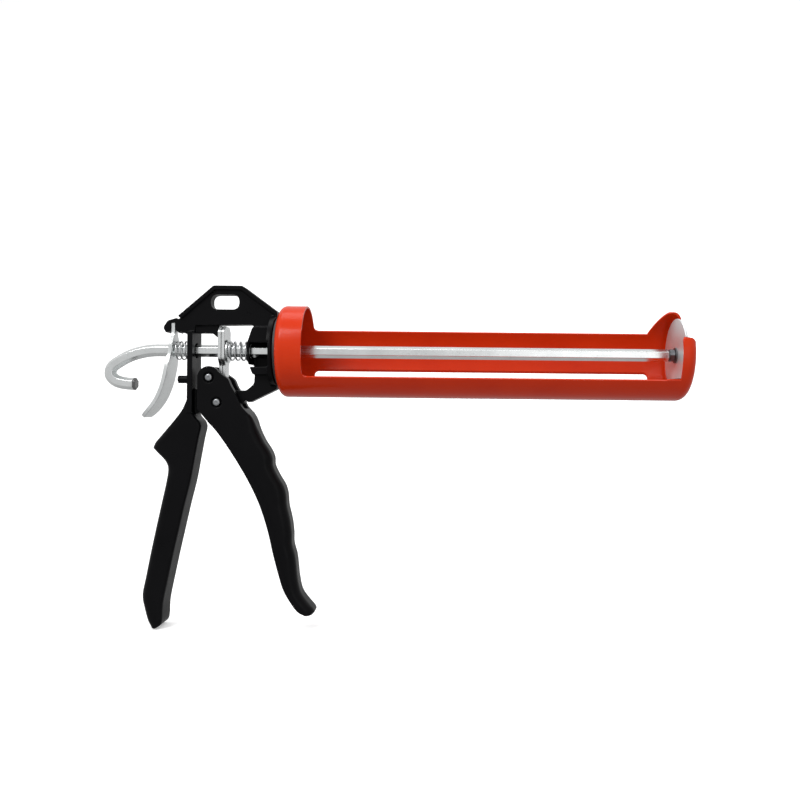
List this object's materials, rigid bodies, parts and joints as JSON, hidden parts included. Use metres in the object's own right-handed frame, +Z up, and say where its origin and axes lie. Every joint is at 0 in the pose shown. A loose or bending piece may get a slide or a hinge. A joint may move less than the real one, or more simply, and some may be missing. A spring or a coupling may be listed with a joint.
{
  "type": "caulking gun",
  "caption": "Hand caulking gun: die-cast pistol frame with squeeze trigger and thumb release, hooked push rod with plunger disc, revolving open trough cradle.",
  "frame": {"origin": "centre of the plunger's front face with the push rod fully forward, on the push rod's axis", "axes": "+X along the push rod towards the nozzle, +Z up away from the grips, -Y the side the open trough is turned towards"},
  "size_m": [0.3414, 0.0534, 0.2004],
  "materials": {
    "black_enamel": "satin black stoved enamel on die-cast alloy",
    "red_enamel": "glossy red-orange enamel on pressed sheet steel",
    "zinc_steel": "bright zinc plate",
    "plated_lever": "zinc-plated pressing, sheared edges",
    "plated_rod": "bright plated hexagonal bar",
    "plated_plunger": "plated steel disc with faint turning marks",
    "spring_steel": "bright drawn spring wire",
    "dark_steel": "blackened steel, lightly oiled",
    "black_nylon": "matte nylon"
  },
  "bodies": {
    "frame": {"frame_casting": "black_enamel", "trigger_pivot_pin": "zinc_steel", "main_spring": "spring_steel", "release_spring": "spring_steel", "thrust_washer": "black_nylon", "wave_washer": "zinc_steel", "retaining_washer": "zinc_steel", "circlip": "dark_steel"},
    "trigger": {"trigger_handle": "black_enamel", "roller_pin": "zinc_steel", "drive_roller": "dark_steel"},
    "drive": {"drive_plate_rear": "zinc_steel", "drive_plate_front": "zinc_steel", "spring_washer": "zinc_steel"},
    "lever": {"release_lever": "plated_lever"},
    "rod": {"push_rod": "plated_rod", "plunger_disc": "plated_plunger", "plunger_washer": "dark_steel", "plunger_nut": "dark_steel"},
    "cradle": {"cradle": "red_enamel"}
  },
  "joints": [
    {"name": "trigger_pivot", "type": "hinge", "parent": "frame", "child": "trigger", "pos_m": [-0.2697, 0, -0.0302], "axis": [0, 1, 0], "range_deg": [0, 24], "stiffness_Nm_per_rad": 1, "springref_deg": -11.46, "deforming": ["main_spring"]},
    {"name": "drive_slide", "type": "slide", "parent": "frame", "child": "drive", "axis": [1, 0, 0], "range_m": [0, 0.0064], "deforming": ["main_spring"]},
    {"name": "release_pivot", "type": "hinge", "parent": "frame", "child": "lever", "pos_m": [-0.29725, 0, 0.015], "axis": [0, -1, 0], "range_deg": [0, 8], "stiffness_Nm_per_rad": 0.3, "springref_deg": -14.32, "deforming": ["release_spring"]},
    {"name": "rod_slide", "type": "slide", "parent": "frame", "child": "rod", "axis": [1, 0, 0], "range_m": [-0.214, 0]},
    {"name": "cradle_spin", "type": "hinge", "parent": "frame", "child": "cradle", "pos_m": [-0.2338, 0, 0], "axis": [1, 0, 0], "continuous": true}
  ],
  "couplings": [
    {"joint": "drive_slide", "follows": "trigger_pivot", "m_per_rad": 0.0149}
  ]
}
